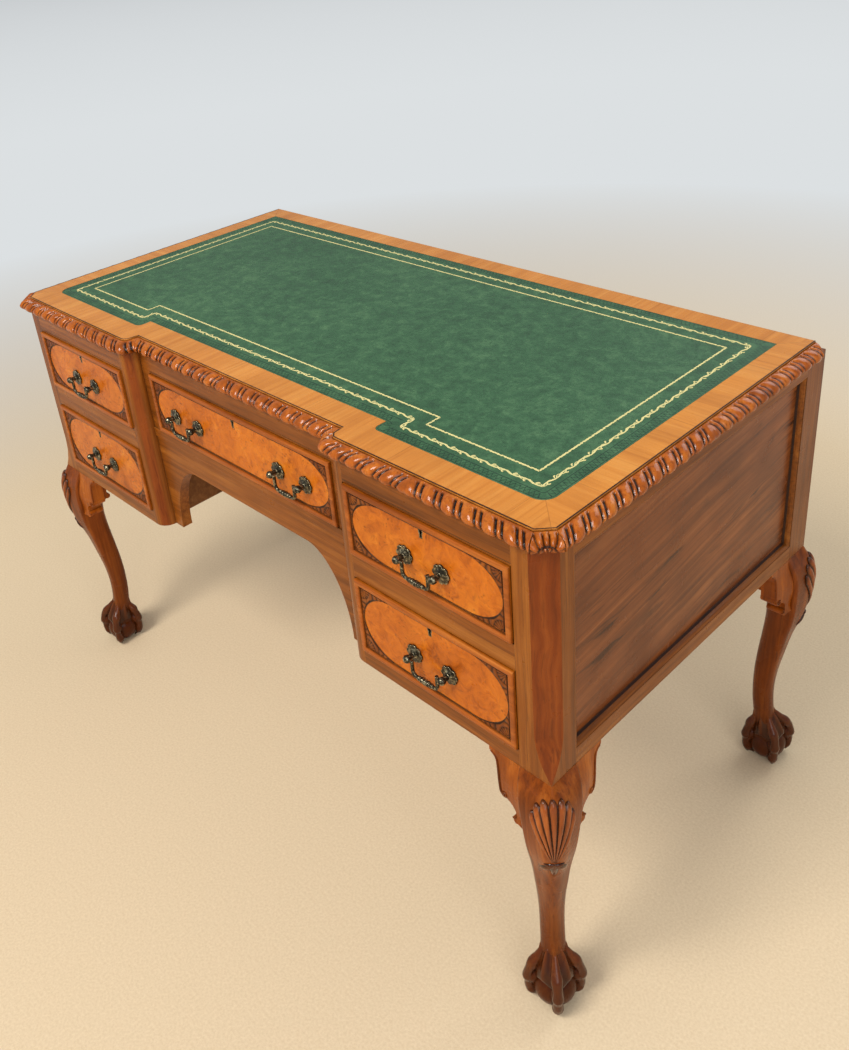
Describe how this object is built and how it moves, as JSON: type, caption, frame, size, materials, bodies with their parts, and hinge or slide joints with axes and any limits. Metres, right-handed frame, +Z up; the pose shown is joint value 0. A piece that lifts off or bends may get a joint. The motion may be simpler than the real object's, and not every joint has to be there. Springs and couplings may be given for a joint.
{
  "type": "kneehole desk",
  "caption": "Walnut kneehole desk on cabriole legs with claw and ball feet, a leather writing surface, a gadrooned edge and drawers with drop handles in two pedestals and over the arch.",
  "frame": {"origin": "on the floor, under the middle of the desk's overall width and depth", "axes": "+X to the right of a person at the desk facing it, +Y from the drawer fronts to the back, +Z up"},
  "size_m": [1.2228, 0.654, 0.78],
  "materials": {
    "walnut": "polished",
    "burr_walnut": "polished",
    "carved_walnut": "polished",
    "secondary_wood": "satin",
    "drawer_lining": "matt",
    "leather": "satin",
    "brass": "aged"
  },
  "bodies": {
    "carcass": {"back_panels": "secondary_wood", "centre_frame": "walnut", "drawer_guides": "secondary_wood", "drawer_runners": "secondary_wood", "front_post_left": "walnut", "front_post_right": "walnut", "front_rails_left": "walnut", "front_rails_right": "walnut", "gadroon_corner_left": "carved_walnut", "gadroon_corner_right": "carved_walnut", "gadroon_front_centre": "carved_walnut", "gadroon_front_left": "carved_walnut", "gadroon_front_right": "carved_walnut", "gadroon_side_left": "carved_walnut", "gadroon_side_right": "carved_walnut", "inner_panels": "secondary_wood", "inner_rear_posts": "secondary_wood", "inner_stile_left": "walnut", "inner_stile_right": "walnut", "knee_brackets": "carved_walnut", "kneehole_apron": "walnut", "leg_front_left": "carved_walnut", "leg_front_right": "carved_walnut", "leg_rear_left": "carved_walnut", "leg_rear_right": "carved_walnut", "pedestal_floors": "secondary_wood", "rear_post_left": "walnut", "rear_post_right": "walnut", "rear_top_rail": "walnut", "side_panel_left": "walnut", "side_panel_right": "walnut", "side_rails": "walnut", "top_board": "walnut", "writing_leather": "leather"},
    "drawer_upper_left": {"drawer_upper_left_bottom": "drawer_lining", "drawer_upper_left_box": "drawer_lining", "drawer_upper_left_brassware": "brass", "drawer_upper_left_front": "burr_walnut"},
    "drawer_upper_right": {"drawer_upper_right_bottom": "drawer_lining", "drawer_upper_right_box": "drawer_lining", "drawer_upper_right_brassware": "brass", "drawer_upper_right_front": "burr_walnut"},
    "drawer_lower_left": {"drawer_lower_left_bottom": "drawer_lining", "drawer_lower_left_box": "drawer_lining", "drawer_lower_left_brassware": "brass", "drawer_lower_left_front": "burr_walnut"},
    "drawer_lower_right": {"drawer_lower_right_bottom": "drawer_lining", "drawer_lower_right_box": "drawer_lining", "drawer_lower_right_brassware": "brass", "drawer_lower_right_front": "burr_walnut"},
    "drawer_centre": {"drawer_centre_bottom": "drawer_lining", "drawer_centre_box": "drawer_lining", "drawer_centre_brassware": "brass", "drawer_centre_front": "burr_walnut"},
    "bail_centre_left": {"bail_centre_left": "brass"},
    "bail_centre_right": {"bail_centre_right": "brass"},
    "bail_lower_left": {"bail_lower_left": "brass"},
    "bail_lower_right": {"bail_lower_right": "brass"},
    "bail_upper_left": {"bail_upper_left": "brass"},
    "bail_upper_right": {"bail_upper_right": "brass"}
  },
  "joints": [
    {"name": "drawer_upper_left_slide", "type": "slide", "parent": "carcass", "child": "drawer_upper_left", "axis": [0, -1, 0], "range_m": [0, 0.38]},
    {"name": "drawer_upper_right_slide", "type": "slide", "parent": "carcass", "child": "drawer_upper_right", "axis": [0, -1, 0], "range_m": [0, 0.38]},
    {"name": "drawer_lower_left_slide", "type": "slide", "parent": "carcass", "child": "drawer_lower_left", "axis": [0, -1, 0], "range_m": [0, 0.38]},
    {"name": "drawer_lower_right_slide", "type": "slide", "parent": "carcass", "child": "drawer_lower_right", "axis": [0, -1, 0], "range_m": [0, 0.38]},
    {"name": "drawer_centre_slide", "type": "slide", "parent": "carcass", "child": "drawer_centre", "axis": [0, -1, 0], "range_m": [0, 0.38]},
    {"name": "bail_upper_right_hinge", "type": "hinge", "parent": "drawer_upper_right", "child": "bail_upper_right", "pos_m": [0.40775, -0.322, 0.66265], "axis": [-1, 0, 0], "range_deg": [-30, 140]},
    {"name": "bail_lower_right_hinge", "type": "hinge", "parent": "drawer_lower_right", "child": "bail_lower_right", "pos_m": [0.40775, -0.322, 0.50805], "axis": [-1, 0, 0], "range_deg": [-30, 140]},
    {"name": "bail_centre_right_hinge", "type": "hinge", "parent": "drawer_centre", "child": "bail_centre_right", "pos_m": [0.13, -0.2985, 0.66465], "axis": [-1, 0, 0], "range_deg": [-30, 140]},
    {"name": "bail_upper_left_hinge", "type": "hinge", "parent": "drawer_upper_left", "child": "bail_upper_left", "pos_m": [-0.40775, -0.322, 0.66265], "axis": [-1, 0, 0], "range_deg": [-30, 140]},
    {"name": "bail_lower_left_hinge", "type": "hinge", "parent": "drawer_lower_left", "child": "bail_lower_left", "pos_m": [-0.40775, -0.322, 0.50805], "axis": [-1, 0, 0], "range_deg": [-30, 140]},
    {"name": "bail_centre_left_hinge", "type": "hinge", "parent": "drawer_centre", "child": "bail_centre_left", "pos_m": [-0.13, -0.2985, 0.66465], "axis": [-1, 0, 0], "range_deg": [-30, 140]}
  ]
}
